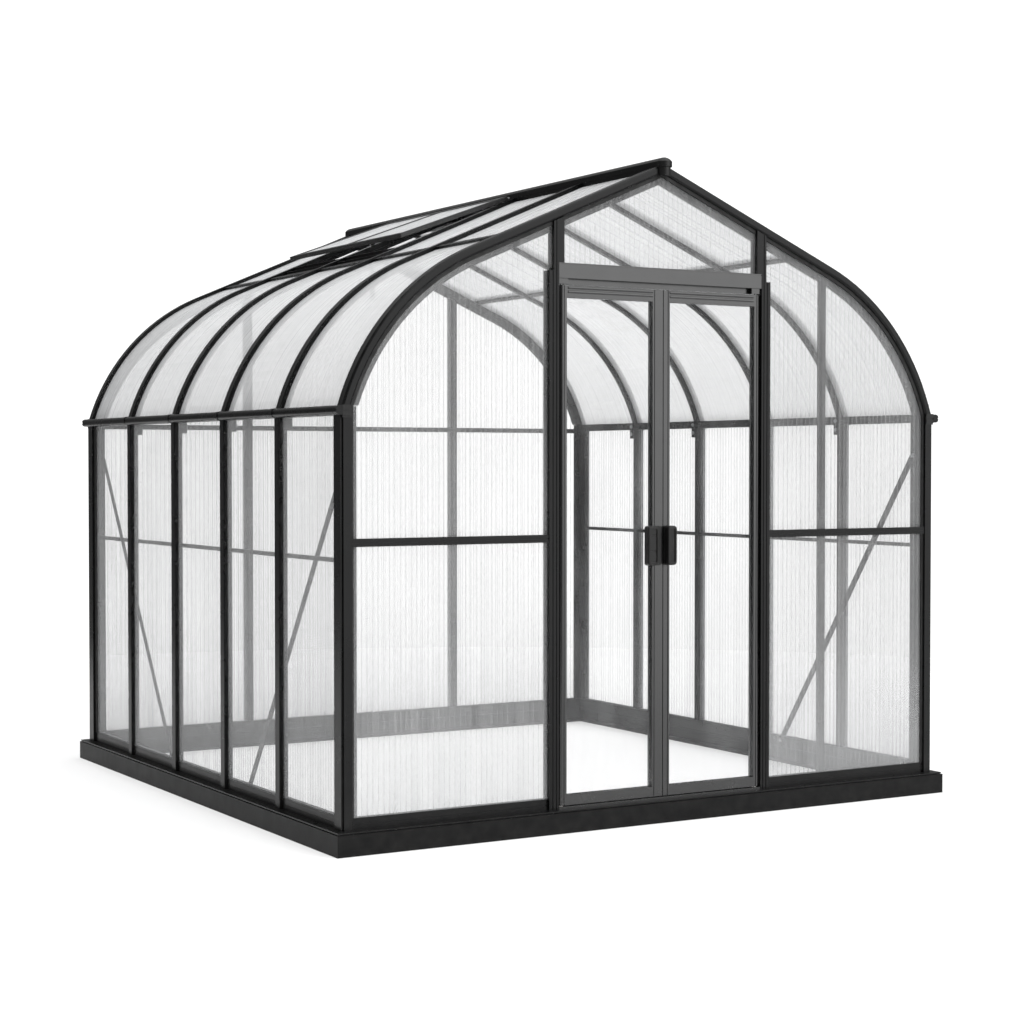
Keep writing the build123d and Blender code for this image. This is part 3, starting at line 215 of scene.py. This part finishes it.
def sheet_skin(name, haze, tone, flute, foot_thickening=0.0):
    """Skin of a twin-wall sheet: see-through, with a milky film streaked along the flutes.

    The UV map runs across the flutes in U and follows the height in V, in metres. Towards the
    bottom of the sheet, below 0.75 m, the film is greyer, and the last argument makes it thicker there.
    """
    t = Tree(name)
    uv = t.uv()
    wave = t.nodes.new("ShaderNodeTexWave")
    wave.wave_profile = "SIN"
    wave.inputs["Scale"].default_value = math.pi / 10 / FLUTE_PITCH
    wave.inputs["Distortion"].default_value = 0.0
    t.links.new(uv, wave.inputs["Vector"])
    fine = t.noise(1.0, 2, (60, 0.6, 1), uv)
    broad = t.noise(1.0, 2, (17, 0.3, 1), uv)
    lines = t.math("ADD", t.math("MULTIPLY", fine, 0.6), t.math("MULTIPLY", broad, 0.4))
    film = t.span(lines, 0.35, 0.65, haze - flute, haze + flute)
    film = t.math("ADD", film, t.span(wave.outputs["Fac"], 0, 1, -0.35 * flute, 0.35 * flute))
    film = t.math("ADD", film, t.span(t.noise(1.3, 2), 0.35, 0.65, -0.03, 0.03))
    shade = t.mix(t.span(lines, 0.35, 0.65, 0, 1), grey(tone * 0.93, -0.01), grey(tone, -0.004))
    # Toward the bottom of the sheet the film gets greyer and, by the last argument, thicker.
    low = t.span(t.height(), 0.1, 0.75, 1, 0)
    low = t.math("MULTIPLY", t.math("POWER", low, 1.6), t.span(broad, 0.3, 0.7, 0.6, 1.0))
    film = t.math("ADD", film, t.math("MULTIPLY", low, foot_thickening))
    shade = t.mix(low, shade, grey(tone * 0.72, -0.012))
    t.set(Base_Color=shade, Alpha=film, Roughness=t.span(fine, 0.3, 0.7, 0.24, 0.36))
    t.shader.inputs["Specular IOR Level"].default_value = 0.35
    t.bump(wave.outputs["Fac"], 0.06, 0.0004)
    return t.material


def sheet_web(name, alpha, tone):
    """Webs inside a twin-wall sheet: thin, and a little darker than the skins."""
    t = Tree(name)
    drift = t.span(t.noise(9, 3), 0.3, 0.7, 0, 1)
    t.set(Base_Color=t.mix(drift, grey(tone * 0.86, -0.01), grey(tone, -0.01)),
          Alpha=t.span(t.noise(30, 2), 0.3, 0.7, alpha * 0.75, alpha * 1.25), Roughness=0.4)
    return t.material


def clear_sheet():
    """Clear flat sheet with faint wipe marks and dust toward its foot."""
    t = Tree("clear_sheet")
    wipes = t.noise(7, 5, (1, 1, 0.35), rough=0.65)
    low = t.math("POWER", t.span(t.height(), 0.1, 0.9, 1, 0), 2.0)
    film = t.math("ADD", t.span(wipes, 0.4, 0.75, 0.02, 0.06), t.math("MULTIPLY", low, 0.03))
    tone = t.mix(t.span(wipes, 0.3, 0.7, 0, 1), grey(0.84, -0.01), grey(0.92, -0.01))
    t.set(Base_Color=tone, Alpha=film, Roughness=t.span(wipes, 0.3, 0.7, 0.08, 0.2))
    return t.material


# ---------------------------------------------------------------- twin-wall sheets

def islands(obj):
    """Each separate closed solid of a node, as its own bmesh in world space."""
    whole = bmesh.new()
    whole.from_mesh(obj.data)
    bmesh.ops.transform(whole, matrix=obj.matrix_world, verts=whole.verts)
    bmesh.ops.remove_doubles(whole, verts=whole.verts, dist=1e-6)
    whole.verts.index_update()
    seen = set()
    pieces = []
    for start in whole.verts:
        if start.index in seen:
            continue
        stack = [start]
        group = {start.index: start}
        while stack:
            for edge in stack.pop().link_edges:
                for vert in edge.verts:
                    if vert.index not in group:
                        group[vert.index] = vert
                        stack.append(vert)
        seen.update(group)
        piece = bmesh.new()
        copy = {index: piece.verts.new(group[index].co) for index in sorted(group)}
        for face in whole.faces:
            if face.verts[0].index in group:
                piece.faces.new([copy[vert.index] for vert in face.verts])
        pieces.append(piece)
    whole.free()
    return pieces


def web_faces(pane, across, place):
    """Cut one pane by the plane across = place and return the outlines of the cut."""
    cut = pane.copy()
    normal = Vector((0, 0, 0))
    normal[across] = 1
    found = bmesh.ops.bisect_plane(cut, geom=cut.verts[:] + cut.edges[:] + cut.faces[:],
                                   plane_co=normal * place, plane_no=normal,
                                   clear_inner=True, clear_outer=True)
    edges = [e for e in found["geom_cut"] if isinstance(e, bmesh.types.BMEdge)]
    outlines = []
    used = set()
    for edge in edges:
        loop = [edge.verts[0]]
        step = None if edge in used else edge
        while step:
            used.add(step)
            end = step.other_vert(loop[-1])
            loop.append(end)
            step = next((e for e in end.link_edges if e not in used and e in edges), None)
        outlines.append([v.co.copy() for v in loop[:-1]])
    cut.free()
    return outlines


def twin_wall(node, across, skin, web, body):
    """Replace a node of solid sheets by hollow twin-wall sheets of the same outline."""
    out = bmesh.new()
    uv = out.loops.layers.uv.new("UVMap")
    for pane in islands(frame["nodes"][node]):
        low = min(v.co[across] for v in pane.verts)
        high = max(v.co[across] for v in pane.verts)
        copy = {v: out.verts.new(v.co) for v in pane.verts}
        for face in pane.faces:
            out.faces.new([copy[v] for v in face.verts]).material_index = 0
        count = round((high - low - 2 * EDGE_MARGIN) / FLUTE_PITCH)
        for k in range(1, count):
            place = low + (high - low) * k / count
            for outline in web_faces(pane, across, place):
                if len(outline) > 2:
                    out.faces.new([out.verts.new(co) for co in outline]).material_index = 1
        pane.free()
    for face in out.faces:
        for loop in face.loops:
            loop[uv].uv = (loop.vert.co[across], loop.vert.co[Z])
    mesh = bpy.data.meshes.new("twinwall_" + node)
    out.to_mesh(mesh)
    out.free()
    mesh.materials.append(skin)
    mesh.materials.append(web)
    piece = bpy.data.objects.new("twinwall_" + node, mesh)
    bpy.context.collection.objects.link(piece)
    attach(piece, body)
    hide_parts(node)
    return piece


# ---------------------------------------------------------------- build

def paint(nodes, material):
    for node in nodes:
        obj = frame["nodes"][node]
        obj.data.materials.clear()
        obj.data.materials.append(material)


def finish_by_slot():
    """Give every CAD node the material of its record slot."""
    finishes = {
        "base_steel": powder_coat("base_coat", 0.003, 0.004, 0.39, 0.44, 0.13),
        "frame_coat": powder_coat("frame_coat", 0.003, 0.005, 0.265, 0.3, 0.19),
        "door_coat": powder_coat("door_coat", 0.004, 0.006, 0.22, 0.26, 0.75),
        "black_plastic": moulded_plastic(),
        "gasket_rubber": rubber(),
        "zinc_steel": zinc_steel(),
        "nylon": nylon(),
        "clear_sheet": clear_sheet(),
    }
    for part in frame["record"]["subparts"]:
        if part["material_slot"] in finishes:
            paint([part["node"]], finishes[part["material_slot"]])


def glaze():
    """Twin-wall sheets: upright flutes in the walls, flutes down the slope in the roof."""
    gable = (sheet_skin("gable_skin", 0.13, 0.68, 0.03, 0.26), sheet_web("gable_web", 0.25, 0.62))
    wall = (sheet_skin("wall_skin", 0.21, 0.68, 0.045, 0.03), sheet_web("wall_web", 0.16, 0.72))
    roof = (sheet_skin("roof_skin", 0.42, 0.95, 0.045), sheet_web("roof_web", 0.35, 0.75))
    sheets = (
        ("side_panels_left", Y, wall, "house"), ("side_panels_right", Y, wall, "house"),
        ("front_gable_panels", X, gable, "house"), ("back_gable_panels", X, gable, "house"),
        ("curved_panels_left", Y, roof, "house"), ("curved_panels_right", Y, roof, "house"),
        ("flat_panels_left", Y, roof, "house"), ("flat_panels_right", Y, roof, "house"),
        ("vent_sash_panels", Y, roof, "vent_sash"),
    )
    for node, across, (skin, web), body in sheets:
        twin_wall(node, across, skin, web, body)


def add_floor():
    """Round pale floor, large enough to reach past the frame of the picture."""
    turns = [2 * math.pi * k / FLOOR_SIDES for k in range(FLOOR_SIDES)]
    ring = [(FLOOR_RADIUS * math.cos(turn), FLOOR_RADIUS * math.sin(turn), 0) for turn in turns]
    mesh = bpy.data.meshes.new("floor")
    mesh.from_pydata(ring, [], [range(len(ring))])
    t = Tree("floor")
    drift = t.span(t.noise(0.6, 3), 0.3, 0.7, 0, 1)
    t.set(Base_Color=t.mix(drift, grey(0.93), grey(0.95)), Roughness=0.9)
    t.shader.inputs["Specular IOR Level"].default_value = 0.0
    mesh.materials.append(t.material)
    floor = bpy.data.objects.new("floor", mesh)
    floor.location.z = -FLOOR_DROP
    bpy.context.collection.objects.link(floor)


def add_fill():
    """Broad, shadowless lamp from overhead and a little in front."""
    lamp = bpy.data.lights.new("fill", "SUN")
    lamp.energy = FILL_STRENGTH
    lamp.angle = math.radians(FILL_SPREAD)
    lamp.use_shadow = False
    obj = bpy.data.objects.new("fill", lamp)
    obj.rotation_euler = Vector(FILL_TOWARD).to_track_quat("Z", "Y").to_euler()
    bpy.context.collection.objects.link(obj)


def studio_glow(nodes, links):
    """Strength of the studio light: overhead, and a broad soft box in front on the right."""
    coords = nodes.new("ShaderNodeTexCoord").outputs["Generated"]

    def toward(direction, low, high, to_low, to_high):
        dot = nodes.new("ShaderNodeVectorMath")
        dot.operation = "DOT_PRODUCT"
        links.new(coords, dot.inputs[0])
        dot.inputs[1].default_value = Vector(direction).normalized()
        span = nodes.new("ShaderNodeMapRange")
        span.interpolation_type = "SMOOTHSTEP"
        links.new(dot.outputs["Value"], span.inputs["Value"])
        for name, number in zip(("From Min", "From Max", "To Min", "To Max"), (low, high, to_low, to_high)):
            span.inputs[name].default_value = number
        return span.outputs["Result"]

    total = nodes.new("ShaderNodeMath")
    total.operation = "ADD"
    links.new(toward((0, 0, 1), 0.15, 0.85, SKY_LOW, SKY_HIGH), total.inputs[0])
    links.new(toward(SOFT_BOX_TOWARD, 0.80, 0.98, 0, BOX_GLOW), total.inputs[1])
    return total.outputs["Value"]


def add_light():
    """White studio: plain white behind everything, with a softer, dimmer sky lighting the object."""
    scene = bpy.context.scene
    world = bpy.data.worlds.new("studio")
    scene.world = world
    world.use_nodes = True
    nodes, links = world.node_tree.nodes, world.node_tree.links
    nodes.clear()
    seen = nodes.new("ShaderNodeBackground")
    seen.inputs["Color"].default_value = (1, 1, 1, 1)
    seen.inputs["Strength"].default_value = BACKDROP
    sky = nodes.new("ShaderNodeBackground")
    links.new(studio_glow(nodes, links), sky.inputs["Strength"])
    path = nodes.new("ShaderNodeLightPath")
    choose = nodes.new("ShaderNodeMixShader")
    links.new(path.outputs["Is Camera Ray"], choose.inputs["Fac"])
    links.new(sky.outputs["Background"], choose.inputs[1])
    links.new(seen.outputs["Background"], choose.inputs[2])
    out = nodes.new("ShaderNodeOutputWorld")
    links.new(choose.outputs["Shader"], out.inputs["Surface"])
    add_fill()


def add_camera():
    camera = bpy.data.cameras.new("camera")
    camera.lens = CAMERA_LENS
    camera.sensor_width = 36
    obj = bpy.data.objects.new("camera", camera)
    obj.location = CAMERA_AT
    obj.rotation_euler = (math.radians(90 + CAMERA_PITCH), 0, math.radians(-CAMERA_YAW))
    bpy.context.collection.objects.link(obj)
    bpy.context.scene.camera = obj


finish_by_slot()
glaze()
add_floor()
add_light()
add_camera()
scene = bpy.context.scene
scene.view_settings.view_transform = "Standard"
scene.cycles.transparent_max_bounces = 32
